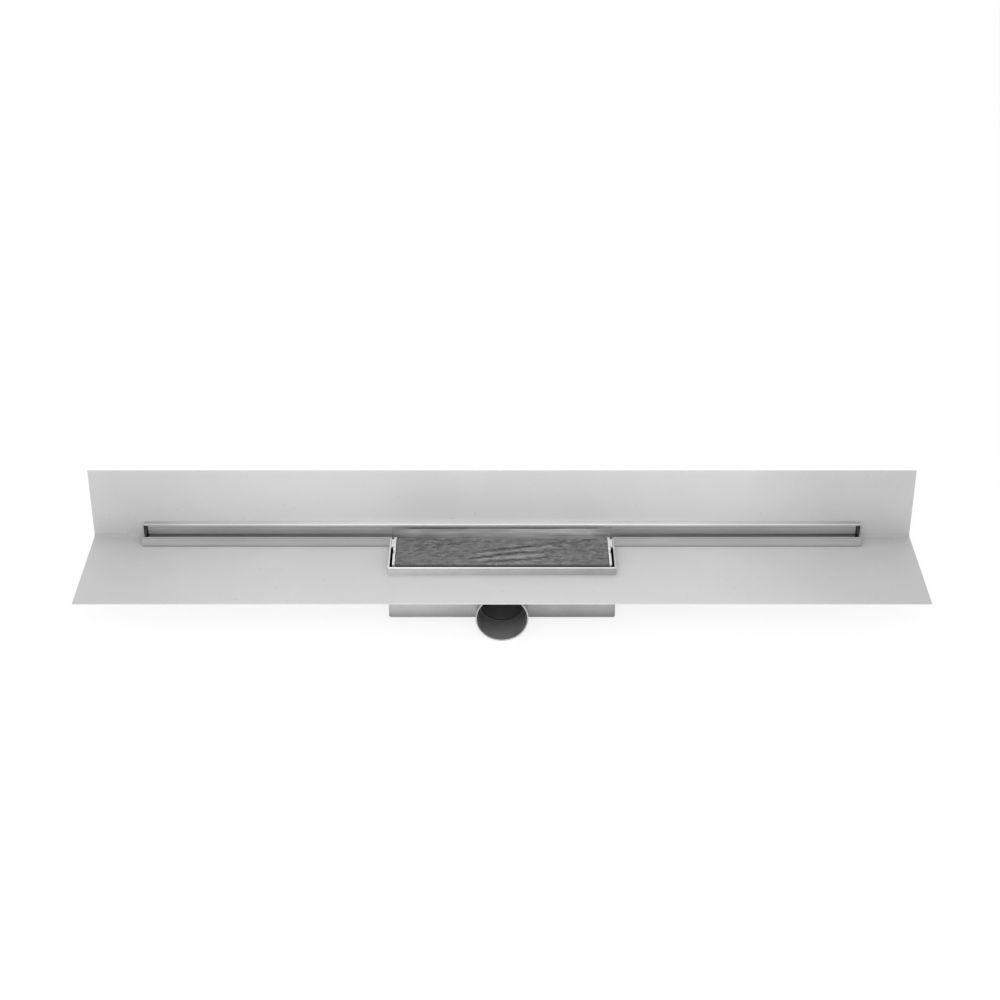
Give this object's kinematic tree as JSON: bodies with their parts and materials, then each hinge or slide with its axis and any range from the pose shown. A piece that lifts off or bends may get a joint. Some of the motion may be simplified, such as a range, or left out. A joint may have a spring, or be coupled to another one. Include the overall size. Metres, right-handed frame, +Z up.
{
  "type": "linear shower drain",
  "caption": "Wall-type linear shower drain: L-folded flange with a long slot, framed cover tray with a tile, low trap box with a removable hood, and a round side outlet.",
  "frame": {"origin": "centre of the footprint, at the level of the sump pan's underside", "axes": "+X along the slot, +Y towards the wall, +Z up; the outlet points along -Y"},
  "size_m": [0.8, 0.1234, 0.1268],
  "materials": {
    "matte_steel": "matte, bead-blasted sheet",
    "brushed_steel": "fine brushing along the length",
    "mill_steel": "cold-rolled mill finish, slightly cloudy",
    "pipe_steel": "drawn tube, satin",
    "seal_rubber": "matte black rubber",
    "slate_tile": "matte riven dark grey slate with wavy veins"
  },
  "bodies": {
    "root": {"wall_flange": "matte_steel", "floor_flange": "matte_steel", "channel_left": "brushed_steel", "channel_right": "brushed_steel", "channel_middle": "brushed_steel", "end_cap_left": "brushed_steel", "end_cap_right": "brushed_steel", "box_shell": "mill_steel", "box_front_plate": "mill_steel", "box_back_plate": "mill_steel", "sump_pan": "mill_steel", "outlet_pipe": "pipe_steel", "weir_left": "mill_steel", "weir_right": "mill_steel", "trap_hood": "brushed_steel", "hood_handle": "brushed_steel", "handle_rivets": "brushed_steel", "hood_seal_front": "seal_rubber", "hood_seal_back": "seal_rubber", "hair_strainer_left": "brushed_steel", "hair_strainer_right": "brushed_steel", "tray_rest_left": "mill_steel", "tray_rest_right": "mill_steel", "cover_tray": "brushed_steel", "cover_tile": "slate_tile"}
  },
  "joints": []
}
